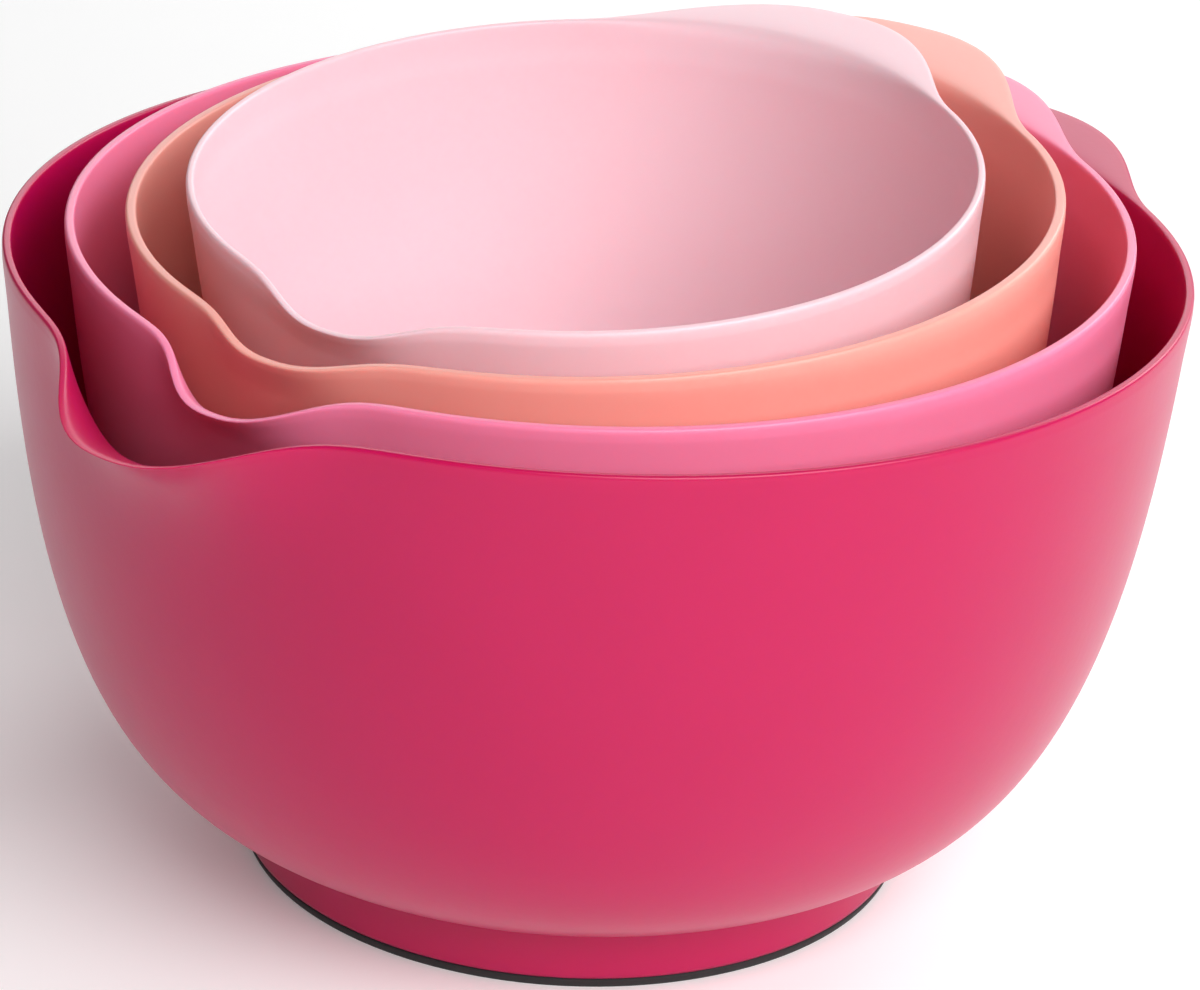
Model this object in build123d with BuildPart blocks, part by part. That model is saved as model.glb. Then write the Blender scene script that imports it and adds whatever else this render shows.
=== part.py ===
from build123d import *
import os
from math import cos, exp, hypot, pi, radians, sin

# A nest of four mixing bowls. Each is one moulding with a pouring spout, a handle flange and
# a foot, and has a rubber ring pressed into the foot.
# Frame: origin at the centre of the largest bowl's foot, on the table. +Z is up, the spouts
# point to -Y and the handles to +Y. Millimetres and degrees.

# The set. spout and handle give the reach past the rim; a spout also dips below the rim.
# The angles are half-widths seen from the bowl's axis, and flat is where a handle is widest.
# In the nest a bowl is turned about its axis, leans about X towards its spout and about Y to
# its side, and has the centre of its rim at the point given.
BOWLS = {
    "largest_bowl": dict(
        rim=125.0, height=139.5, wall=2.0, spout=18.8, dip=7.8, spout_angle=17.4,
        handle=21.0, flat=7.3, handle_angle=34.5,
        turn=0.0, lean=0.0, side=0.0, rim_centre=(0.0, 0.0, 139.5),
    ),
    "large_bowl": dict(
        rim=112.2, height=127.4, wall=2.2, spout=11.2, dip=5.5, spout_angle=13.2,
        handle=19.9, flat=5.3, handle_angle=34.3,
        turn=3.6, lean=1.7, side=0.0, rim_centre=(0.0, 0.0, 145.7),
    ),
    "medium_bowl": dict(
        rim=98.1, height=116.0, wall=2.4, spout=6.1, dip=2.7, spout_angle=15.0,
        handle=24.5, flat=1.9, handle_angle=35.9,
        turn=3.4, lean=3.8, side=1.1, rim_centre=(0.0, -2.4, 151.6),
    ),
    "small_bowl": dict(
        rim=83.0, height=106.9, wall=1.8, spout=5.2, dip=4.3, spout_angle=18.0,
        handle=20.2, flat=2.0, handle_angle=36.0,
        turn=6.1, lean=4.9, side=0.0, rim_centre=(0.3, -6.3, 157.8),
    ),
}

# The outer wall is a superellipse of radius against depth, from the rim down to a nearly flat
# bottom. It tapers inwards with depth, and its depth is BOTTOM times the bowl's height.
TAPER = 0.071
BOTTOM = 0.915
DEPTH_POWER = 2.83
RADIUS_POWER = 6.0
FLOOR_THICKNESS = 3.0

# The wall's stations run from just under the rim to the edge of the flat bottom, as angles of
# the superellipse. SLOPE_STEP is the half-width over which its slope is taken.
FIRST_STATION = 2.0
LAST_STATION = 88.3
STATION_POWER = 0.9
SLOPE_STEP = 0.05

# Across its width a spout is a hill that falls away smoothly, SPOUT_WIDTH and SPOUT_POWER giving
# its shape. It fades out at SPOUT_DEPTH of the bowl's height below the rim, quickly at first.
# The handle flange's lower edge is FLANGE_EDGE below its flat top.
SPOUT_DEPTH = 0.42
SPOUT_FALL = 4
SPOUT_WIDTH = 0.67
SPOUT_POWER = 2.5
FLANGE_EDGE = 2.6

# The foot's outer radius is FOOT_SHARE of the rim's. It runs up into the bottom, and has a
# groove for the rubber ring's tongue.
FOOT_SHARE = 0.59
FOOT_WIDTH = 6.0
FOOT_BELOW_FLOOR = 0.6
RING_HEIGHT = 2.1
RING_EDGE = 0.6
TONGUE_WIDTH = 2.2
TONGUE_HEIGHT = 3.0

POINTS_AROUND = 90
WALL_STATIONS = 13


def outer_wall(bowl, angle):
    """Radius and depth below the rim at a station of the superellipse, 0 rim to 90 bottom."""
    depth = BOTTOM * bowl["height"] * sin(radians(angle)) ** (2 / DEPTH_POWER)
    radius = (bowl["rim"] - TAPER * depth) * cos(radians(angle)) ** (2 / RADIUS_POWER)
    return radius, depth


def inner_wall(bowl, angle):
    """The outer wall moved in along its normal by a wall that thickens towards the floor."""
    radius, depth = outer_wall(bowl, angle)
    before = outer_wall(bowl, angle - SLOPE_STEP)
    after = outer_wall(bowl, angle + SLOPE_STEP)
    run, drop = before[0] - after[0], after[1] - before[1]
    length = hypot(run, drop)
    share = depth / (BOTTOM * bowl["height"])
    wall = bowl["wall"] + (FLOOR_THICKNESS - bowl["wall"]) * share
    return radius - wall * drop / length, depth - wall * run / length


def stations():
    """Angles from just under the rim to the edge of the flat bottom, closer at both ends."""
    for index in range(WALL_STATIONS):
        share = (0.5 - 0.5 * cos(pi * index / (WALL_STATIONS - 1))) ** STATION_POWER
        yield FIRST_STATION + (LAST_STATION - FIRST_STATION) * share


def over_rim(bowl):
    """Radius, depth and share of the handle's reach, up the outside and down the inside."""
    rim, wall = bowl["rim"], bowl["wall"]
    inner = rim - wall
    return [
        (rim - 0.35, 6.5, 0.03),
        (rim - 0.15, 4.4, 0.12),
        (rim - 0.05, 3.3, 0.36),
        (rim, FLANGE_EDGE, 0.78),
        (rim, 1.7, 0.97),
        (rim, 0.8, 1.0),
        (rim - 0.15, 0.25, 0.99),
        (rim - 0.50, 0.02, 0.96),
        (rim - wall / 2, 0.0, 0.84),
        (inner + 0.55, 0.02, 0.55),
        (inner + 0.20, 0.25, 0.28),
        (inner + 0.02, 1.0, 0.13),
        (inner - 0.10, 3.0, 0.045),
        (inner - 0.35, 6.5, 0.01),
    ]


def skin_rows(bowl):
    """The rows of the bowl's skin, from the bottom over the rim to the floor inside."""
    outside = [(*outer_wall(bowl, angle), 0.0) for angle in stations()]
    inside = [(*inner_wall(bowl, angle), 0.0) for angle in stations()]
    return outside[::-1] + over_rim(bowl) + inside


def bump(share):
    """A smooth hill: 1 at share 0, falling to 0 at share 1."""
    return 0.5 + 0.5 * cos(pi * min(max(share, 0.0), 1.0))


def skin_point(bowl, radius, depth, handle_part, turn):
    """A point of the skin. turn is measured about the bowl's axis from its spout."""
    from_spout = abs((turn + 180) % 360 - 180)
    near_rim = max(1 - depth / (SPOUT_DEPTH * bowl["height"]), 0.0) ** SPOUT_FALL
    spout = near_rim * exp(-((from_spout / (SPOUT_WIDTH * bowl["spout_angle"])) ** SPOUT_POWER))
    past_flat = (180 - from_spout - bowl["flat"]) / (bowl["handle_angle"] - bowl["flat"])
    across = radius + bowl["spout"] * spout + bowl["handle"] * handle_part * bump(past_flat)
    height = bowl["height"] - depth - bowl["dip"] * spout
    return Vector(across * sin(radians(turn)), -across * cos(radians(turn)), height)


def skin_ring(bowl, row):
    """One closed line around the bowl. Its seam is on the plain +X side."""
    shares = [index / POINTS_AROUND for index in range(POINTS_AROUND + 1)]
    points = [skin_point(bowl, *row, 90 + 360 * share) for share in shares[:-1]]
    return Wire([Edge.make_spline(points, periodic=True, parameters=shares)])


def seat(bowl):
    """Where a bowl stands in the nest, from its own frame with the foot at the origin."""
    rim = Location(bowl["rim_centre"], (bowl["lean"], -bowl["side"], 0))
    return rim * Location((0, 0, -bowl["height"]), (0, 0, bowl["turn"]))


os.makedirs("parts", exist_ok=True)

for name, bowl in BOWLS.items():
    foot_middle = FOOT_SHARE * bowl["rim"] - FOOT_WIDTH / 2
    floor = (1 - BOTTOM) * bowl["height"] + FLOOR_THICKNESS
    foot_height = floor - FOOT_BELOW_FLOOR - RING_HEIGHT

    with BuildPart() as moulding:
        add(Solid.make_loft([skin_ring(bowl, row) for row in skin_rows(bowl)]))
        with BuildSketch(Plane.XZ) as foot:
            with Locations((foot_middle, RING_HEIGHT)):
                Rectangle(FOOT_WIDTH, foot_height, align=(Align.CENTER, Align.MIN))
                Rectangle(
                    TONGUE_WIDTH, TONGUE_HEIGHT, align=(Align.CENTER, Align.MIN), mode=Mode.SUBTRACT
                )
        revolve(axis=Axis.Z)

    with BuildPart() as ring:
        with BuildSketch(Plane.XZ) as section:
            with Locations((foot_middle, 0)):
                Rectangle(FOOT_WIDTH, RING_HEIGHT, align=(Align.CENTER, Align.MIN))
            fillet(section.vertices().group_by(Axis.Y)[0], radius=RING_EDGE)
            with Locations((foot_middle, RING_HEIGHT)):
                Rectangle(TONGUE_WIDTH, TONGUE_HEIGHT, align=(Align.CENTER, Align.MIN))
        revolve(axis=Axis.Z)

    moulding.part.locate(seat(bowl))
    moulding.part.label = name
    export_step(moulding.part, f"parts/{name}.step")

    ring.part.locate(seat(bowl))
    ring.part.label = f"{name}_foot_ring"
    export_step(ring.part, f"parts/{name}_foot_ring.step")
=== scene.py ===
from math import cos, exp, hypot, pi, radians, sin

import bpy
from mathutils import Matrix, Vector


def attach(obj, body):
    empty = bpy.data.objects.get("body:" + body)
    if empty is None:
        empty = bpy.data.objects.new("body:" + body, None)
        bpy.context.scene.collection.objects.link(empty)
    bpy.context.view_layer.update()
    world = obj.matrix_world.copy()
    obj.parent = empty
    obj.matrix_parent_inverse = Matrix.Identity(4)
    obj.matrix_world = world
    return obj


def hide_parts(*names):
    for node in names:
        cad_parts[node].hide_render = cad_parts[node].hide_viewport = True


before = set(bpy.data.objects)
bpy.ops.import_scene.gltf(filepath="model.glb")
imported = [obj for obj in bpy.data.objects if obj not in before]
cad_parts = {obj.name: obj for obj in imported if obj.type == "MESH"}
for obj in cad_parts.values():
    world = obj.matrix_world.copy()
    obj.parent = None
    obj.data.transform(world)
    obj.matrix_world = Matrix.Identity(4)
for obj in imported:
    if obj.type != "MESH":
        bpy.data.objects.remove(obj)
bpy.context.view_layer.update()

# The nest of bowls is drawn again as fine quad meshes from the same dimensions as the CAD
# model, with rounded rims, foot fillets and rubber rings, and gets moulded-melamine materials.
# Sizes are millimetres and degrees. Meshes, lights and the camera are in metres.

MM = 0.001

# spout and handle give the reach past the rim; a spout also dips below the rim. The angles are
# half-widths seen from the bowl's axis, and flat is where a handle is widest. In the nest a bowl
# is turned about its axis, leans about X and about Y, and has its rim's centre at the point given.
BOWLS = {
    "largest_bowl": dict(
        rim=125.0, height=139.5, wall=2.0, spout=18.8, dip=7.8, spout_angle=17.4,
        handle=21.0, flat=7.3, handle_angle=34.5,
        turn=0.0, lean=0.0, side=0.0, rim_centre=(0.0, 0.0, 139.5),
    ),
    "large_bowl": dict(
        rim=112.2, height=127.4, wall=2.2, spout=11.2, dip=5.5, spout_angle=13.2,
        handle=19.9, flat=5.3, handle_angle=34.3,
        turn=3.6, lean=1.7, side=0.0, rim_centre=(0.0, 0.0, 145.7),
    ),
    "medium_bowl": dict(
        rim=98.1, height=116.0, wall=2.4, spout=6.1, dip=2.7, spout_angle=15.0,
        handle=24.5, flat=1.9, handle_angle=35.9,
        turn=3.4, lean=3.8, side=1.1, rim_centre=(0.0, -2.4, 151.6),
    ),
    "small_bowl": dict(
        rim=83.0, height=106.9, wall=1.8, spout=5.2, dip=4.3, spout_angle=18.0,
        handle=20.2, flat=2.0, handle_angle=36.0,
        turn=6.1, lean=4.9, side=0.0, rim_centre=(0.3, -6.3, 157.8),
    ),
}

# The outer wall is a superellipse of radius against depth below the rim.
TAPER = 0.071
BOTTOM = 0.915
DEPTH_POWER = 2.83
RADIUS_POWER = 6.0
FLOOR_THICKNESS = 3.0

# The wall's stations are angles of the superellipse, from just under the rim. The inner wall's
# last one is at the floor. SLOPE_STEP is the half-width over which the wall's slope is taken.
FIRST_STATION = 2.0
LAST_STATION = 89.3
STATION_POWER = 0.9
SLOPE_STEP = 0.05

# A spout is a hill across its width, and fades out at SPOUT_DEPTH of the height below the rim.
SPOUT_DEPTH = 0.42
SPOUT_FALL = 4
SPOUT_WIDTH = 0.67
SPOUT_POWER = 2.5
FLANGE_EDGE = 2.6

FOOT_SHARE = 0.59
FOOT_WIDTH = 6.0
FOOT_FILLET = 1.6
RING_HEIGHT = 2.1
RING_GAP = 0.15

POINTS_AROUND = 360
WALL_STATIONS = 26


def bump(share):
    """A smooth hill: 1 at share 0, falling to 0 at share 1."""
    return 0.5 + 0.5 * cos(pi * min(max(share, 0.0), 1.0))


def outer_wall(bowl, angle):
    """Radius and depth below the rim at a station of the superellipse, 0 rim to 90 bottom."""
    depth = BOTTOM * bowl["height"] * sin(radians(angle)) ** (2 / DEPTH_POWER)
    radius = (bowl["rim"] - TAPER * depth) * cos(radians(angle)) ** (2 / RADIUS_POWER)
    return radius, depth


def inner_wall(bowl, angle):
    """The outer wall moved in along its normal by a wall that thickens towards the floor."""
    radius, depth = outer_wall(bowl, angle)
    before = outer_wall(bowl, angle - SLOPE_STEP)
    after = outer_wall(bowl, angle + SLOPE_STEP)
    run, drop = before[0] - after[0], after[1] - before[1]
    length = hypot(run, drop)
    share = depth / (BOTTOM * bowl["height"])
    wall = bowl["wall"] + (FLOOR_THICKNESS - bowl["wall"]) * share
    return radius - wall * drop / length, depth - wall * run / length


def stations(first, last):
    """Angles down the wall, closer together at both ends."""
    for index in range(WALL_STATIONS):
        share = index / (WALL_STATIONS - 1)
        yield first + (last - first) * (0.5 - 0.5 * cos(pi * share)) ** STATION_POWER


def wall_angle(bowl, radius):
    """The station where the outer wall has this radius, found by halving."""
    low, high = 45.0, 89.9
    for _ in range(30):
        middle = (low + high) / 2
        if outer_wall(bowl, middle)[0] > radius:
            low = middle
        else:
            high = middle
    return low


def foot_rows(bowl):
    """From the middle of the underside down the foot's inner face and up its outer face."""
    height = bowl["height"]
    outer = FOOT_SHARE * bowl["rim"]
    inner = outer - FOOT_WIDTH
    recess = BOTTOM * height
    sole = height - RING_HEIGHT - RING_GAP
    root = outer_wall(bowl, wall_angle(bowl, outer + FOOT_FILLET))[1]
    return [
        (0.5 * inner, recess, 0), (0.8 * inner, recess, 0), (inner - 2.0, recess, 0),
        (inner - 0.8, recess + 0.1, 0), (inner - 0.1, recess + 0.8, 0), (inner, recess + 2.0, 0),
        (inner, (recess + sole) / 2, 0), (inner, sole - 0.8, 0), (inner + 0.15, sole - 0.15, 0),
        (inner + 0.8, sole, 0), (outer - 0.8, sole, 0), (outer - 0.15, sole - 0.15, 0),
        (outer, sole - 0.8, 0), (outer, (root + sole) / 2, 0), (outer, root + 1.9, 0),
        (outer + 0.15, root + 1.0, 0), (outer + 0.55, root + 0.4, 0),
    ]


def rim_rows(bowl):
    """Over the rim and the handle: radius, depth, and share of the handle's reach."""
    rim, wall = bowl["rim"], bowl["wall"]
    inner = rim - wall
    return [
        (rim - 0.35, 6.5, 0.03),
        (rim - 0.15, 4.4, 0.12),
        (rim - 0.05, 3.3, 0.36),
        (rim, FLANGE_EDGE, 0.78),
        (rim, 1.7, 0.97),
        (rim, 0.8, 1.0),
        (rim - 0.15, 0.25, 0.99),
        (rim - 0.50, 0.02, 0.96),
        (rim - wall / 2, 0.0, 0.84),
        (inner + 0.55, 0.02, 0.55),
        (inner + 0.20, 0.25, 0.28),
        (inner + 0.02, 1.0, 0.13),
        (inner - 0.10, 3.0, 0.045),
        (inner - 0.35, 6.5, 0.01),
    ]


def skin_rows(bowl):
    """All rows of the bowl's skin, from the middle of its underside to the middle of its floor."""
    root = wall_angle(bowl, FOOT_SHARE * bowl["rim"] + FOOT_FILLET)
    outside = [(*outer_wall(bowl, angle), 0.0) for angle in stations(FIRST_STATION, root)]
    inside = [
        (*inner_wall(bowl, angle), 0.0) for angle in stations(FIRST_STATION, LAST_STATION)
    ]
    return foot_rows(bowl) + outside[::-1] + rim_rows(bowl) + inside


def skin_point(bowl, radius, depth, handle_part, turn):
    """A point of the skin in the bowl's own frame. turn is measured from its spout."""
    from_spout = abs((turn + 180) % 360 - 180)
    near_rim = max(1 - depth / (SPOUT_DEPTH * bowl["height"]), 0.0) ** SPOUT_FALL
    spout = near_rim * exp(-((from_spout / (SPOUT_WIDTH * bowl["spout_angle"])) ** SPOUT_POWER))
    past_flat = (180 - from_spout - bowl["flat"]) / (bowl["handle_angle"] - bowl["flat"])
    across = radius + bowl["spout"] * spout + bowl["handle"] * handle_part * bump(past_flat)
    height = bowl["height"] - depth - bowl["dip"] * spout
    return Vector((across * sin(radians(turn)), -across * cos(radians(turn)), height))


def seat(bowl):
    """Where a bowl stands in the nest, from its own frame with the foot at the origin."""
    place = Matrix.Translation(Vector(bowl["rim_centre"]))
    place @= Matrix.Rotation(radians(bowl["lean"]), 4, "X")
    place @= Matrix.Rotation(radians(-bowl["side"]), 4, "Y")
    place @= Matrix.Translation((0, 0, -bowl["height"]))
    return place @ Matrix.Rotation(radians(bowl["turn"]), 4, "Z")


def refined(rows, closed):
    """The rows with one more between each pair, on the smooth curve through its neighbours."""
    result = []
    count = len(rows)
    for index in range(count if closed else count - 1):
        if closed:
            near = [rows[(index + step) % count] for step in (-1, 0, 1, 2)]
        else:
            near = [rows[min(max(index + step, 0), count - 1)] for step in (-1, 0, 1, 2)]
        a, b, c, d = near
        middle = tuple((9 * (q + r) - p - s) / 16 for p, q, r, s in zip(a, b, c, d))
        result += [b, middle]
    return result if closed else result + [rows[-1]]


def ring_mesh(name, rings, place, closed):
    """A quad mesh through rings of points. closed joins the last ring to the first, and
    otherwise both ends are filled with a fan."""
    points = [MM * (place @ point) for ring in rings for point in ring]
    around, count = len(rings[0]), len(rings)
    faces = []
    for row in range(count if closed else count - 1):
        below, above = row * around, (row + 1) % count * around
        for index in range(around):
            after = (index + 1) % around
            faces.append((below + index, below + after, above + after, above + index))
    if not closed:
        for start, reverse in ((0, True), ((count - 1) * around, False)):
            ring = list(range(start, start + around))
            centre = sum((points[index] for index in ring), Vector()) / around
            points.append(centre)
            for index in range(around):
                edge = (ring[index], ring[(index + 1) % around])
                faces.append((*(edge[::-1] if reverse else edge), len(points) - 1))
    mesh = bpy.data.meshes.new(name)
    mesh.from_pydata([tuple(point) for point in points], [], faces)
    mesh.validate()
    piece = bpy.data.objects.new(name, mesh)
    bpy.context.scene.collection.objects.link(piece)
    mesh.polygons.foreach_set("use_smooth", [True] * len(mesh.polygons))
    return piece


def make_bowl(name, bowl):
    """The moulding: wall, rim, spout, handle flange, floor and foot in one closed skin."""
    turns = [360 * index / POINTS_AROUND for index in range(POINTS_AROUND)]
    rows = refined(skin_rows(bowl), closed=False)
    rings = [[skin_point(bowl, *row, turn) for turn in turns] for row in rows]
    return ring_mesh(name + "_shell", rings, seat(bowl), closed=False)


def make_rubber(name, bowl):
    """The visible band of the foot ring, with rounded edges."""
    outer = FOOT_SHARE * bowl["rim"]
    inner = outer - FOOT_WIDTH
    soft = 0.5
    section = [
        (inner + soft, 0.0), (outer - 1.2, 0.0), (outer - 0.75, 0.08), (outer - 0.45, 0.5),
        (outer - 0.1, RING_HEIGHT - soft), (outer - 0.2, RING_HEIGHT - 0.1),
        (outer - soft, RING_HEIGHT), (inner + soft, RING_HEIGHT),
        (inner + 0.1, RING_HEIGHT - 0.1), (inner, RING_HEIGHT - soft), (inner, soft),
        (inner + 0.1, 0.1),
    ]
    rings = []
    for radius, height in refined(section, closed=True):
        turns = [2 * pi * index / POINTS_AROUND for index in range(POINTS_AROUND)]
        rings.append([Vector((radius * sin(t), -radius * cos(t), height)) for t in turns])
    return ring_mesh(name + "_rubber", rings, seat(bowl), closed=True)


def new_material(name):
    """A material, with its nodes, its links and its main shader."""
    material = bpy.data.materials.new(name)
    material.use_nodes = True
    nodes = material.node_tree.nodes
    return material, nodes, material.node_tree.links, nodes["Principled BSDF"]


def noise(nodes, links, where, scale, detail):
    """A noise pattern's strength over the object."""
    pattern = nodes.new("ShaderNodeTexNoise")
    pattern.inputs["Scale"].default_value = scale
    pattern.inputs["Detail"].default_value = detail
    links.new(where.outputs["Object"], pattern.inputs["Vector"])
    return pattern.outputs["Fac"]


def vary_roughness(nodes, links, shader, pattern, low, high):
    rough = nodes.new("ShaderNodeMapRange")
    rough.inputs["To Min"].default_value = low
    rough.inputs["To Max"].default_value = high
    links.new(pattern, rough.inputs["Value"])
    links.new(rough.outputs["Result"], shader.inputs["Roughness"])


def add_relief(nodes, links, shader, pattern, strength, distance):
    relief = nodes.new("ShaderNodeBump")
    relief.inputs["Strength"].default_value = strength
    relief.inputs["Distance"].default_value = distance
    links.new(pattern, relief.inputs["Height"])
    links.new(relief.outputs["Normal"], shader.inputs["Normal"])


def melamine(name, colour, deep):
    """Moulded melamine: satin gloss, faint mottling, fine surface ripple."""
    material, nodes, links, shader = new_material(name)
    where = nodes.new("ShaderNodeTexCoord")
    tint = nodes.new("ShaderNodeMix")
    tint.data_type = "RGBA"
    tint.inputs[6].default_value = (*colour, 1)
    tint.inputs[7].default_value = (*deep, 1)
    links.new(noise(nodes, links, where, scale=38.0, detail=4.0), tint.inputs[0])
    links.new(tint.outputs[2], shader.inputs["Base Color"])
    haze = noise(nodes, links, where, scale=14.0, detail=3.0)
    vary_roughness(nodes, links, shader, haze, low=0.27, high=0.37)
    ripple = noise(nodes, links, where, scale=420.0, detail=2.0)
    add_relief(nodes, links, shader, ripple, strength=0.06, distance=0.0003)
    shader.inputs["IOR"].default_value = 1.5
    shader.inputs["Specular IOR Level"].default_value = 0.4
    shader.inputs["Subsurface Weight"].default_value = 0.3
    shader.inputs["Subsurface Radius"].default_value = (1.0, 0.12, 0.10)
    shader.inputs["Subsurface Scale"].default_value = 0.006
    return material


def rubber_black():
    """Matt black rubber with a fine grain."""
    material, nodes, links, shader = new_material("black_rubber_ring")
    where = nodes.new("ShaderNodeTexCoord")
    grain = noise(nodes, links, where, scale=700.0, detail=5.0)
    vary_roughness(nodes, links, shader, grain, low=0.55, high=0.75)
    add_relief(nodes, links, shader, grain, strength=0.25, distance=0.0002)
    shader.inputs["Base Color"].default_value = (0.012, 0.011, 0.012, 1)
    return material


# Each bowl's slot, its colour, and the slightly deeper colour that it is mottled with.
COLOURS = {
    "largest_bowl": ("raspberry_melamine", (0.500, 0.0010, 0.082), (0.475, 0.0008, 0.076)),
    "large_bowl": ("pink_melamine", (0.950, 0.235, 0.405), (0.935, 0.225, 0.390)),
    "medium_bowl": ("salmon_melamine", (0.950, 0.385, 0.325), (0.935, 0.370, 0.310)),
    "small_bowl": ("blush_melamine", (0.930, 0.610, 0.670), (0.915, 0.590, 0.650)),
}

rubber = rubber_black()
for name, bowl in BOWLS.items():
    slot, colour, deep = COLOURS[name]
    shell = make_bowl(name, bowl)
    shell.data.materials.append(melamine(slot, colour, deep))
    band = make_rubber(name, bowl)
    band.data.materials.append(rubber)
    for piece, node, finish in ((shell, name, slot), (band, name + "_foot_ring", "black_rubber")):
        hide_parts(node)
        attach(piece, name)


# Floor, lights and camera. CAMERA_ROUND is the camera's angle about Z from the spouts' side.
CAMERA_ROUND = 39.7
FLOOR_HALF = 6.0
LIGHTS_AIM = (0, 0, 0.08)


def stage_floor():
    """A plain pale floor that glows a little, so that it stays pale in shadow."""
    mesh = bpy.data.meshes.new("floor")
    half = FLOOR_HALF
    mesh.from_pydata([(-half, -half, 0), (half, -half, 0), (half, half, 0), (-half, half, 0)], [],
                     [(0, 1, 2, 3)])
    floor = bpy.data.objects.new("floor", mesh)
    bpy.context.scene.collection.objects.link(floor)
    material, nodes, links, shader = new_material("floor_white")
    shader.inputs["Base Color"].default_value = (0.94, 0.94, 0.94, 1)
    shader.inputs["Roughness"].default_value = 0.9
    shader.inputs["Emission Color"].default_value = (1, 1, 1, 1)
    shader.inputs["Emission Strength"].default_value = 0.12
    floor.data.materials.append(material)


def soft_light(name, right, elevation, distance, size, power):
    """A large panel that faces the bowls. right is its angle to the camera's right, from above."""
    lamp = bpy.data.lights.new(name, "AREA")
    lamp.shape = "RECTANGLE"
    lamp.size, lamp.size_y = size
    lamp.energy = power
    panel = bpy.data.objects.new(name, lamp)
    bpy.context.scene.collection.objects.link(panel)
    around, up = radians(CAMERA_ROUND + right), radians(elevation)
    panel.location = distance * Vector((cos(up) * sin(around), -cos(up) * cos(around), sin(up)))
    aim = Vector(LIGHTS_AIM) - panel.location
    panel.rotation_euler = aim.to_track_quat("-Z", "Y").to_euler()


def studio():
    """A dim white surround and four soft panels: most light comes from the camera's right."""
    world = bpy.data.worlds.new("studio")
    bpy.context.scene.world = world
    world.use_nodes = True
    background = world.node_tree.nodes["Background"]
    background.inputs["Color"].default_value = (1, 1, 1, 1)
    background.inputs["Strength"].default_value = 0.15
    soft_light("key", right=34, elevation=38, distance=2.0, size=(1.9, 1.2), power=47)
    soft_light("rim", right=135, elevation=30, distance=2.0, size=(1.1, 1.0), power=16)
    soft_light("back", right=180, elevation=25, distance=2.0, size=(1.4, 1.2), power=9)
    soft_light("fill", right=-60, elevation=28, distance=2.0, size=(1.1, 1.0), power=1)


def camera():
    """The camera stands in front, to the right of the spouts, and is turned a little about
    its own line of sight."""
    heading, pitch, roll = 39.5, 24.04, 2.96
    away, height = 0.8043, 0.4387
    around = radians(CAMERA_ROUND)
    lens = bpy.data.cameras.new("camera")
    lens.sensor_width = 36.0
    lens.lens = 121.67
    view = bpy.data.objects.new("camera", lens)
    bpy.context.scene.collection.objects.link(view)
    turn = Matrix.Rotation(radians(heading), 4, "Z")
    tip = Matrix.Rotation(radians(90 - pitch), 4, "X")
    twist = Matrix.Rotation(radians(roll), 4, "Z")
    view.matrix_world = (
        Matrix.Translation((away * sin(around), -away * cos(around), height)) @ turn @ tip @ twist
    )
    bpy.context.scene.camera = view


stage_floor()
studio()
camera()
bpy.context.scene.view_settings.view_transform = "Standard"
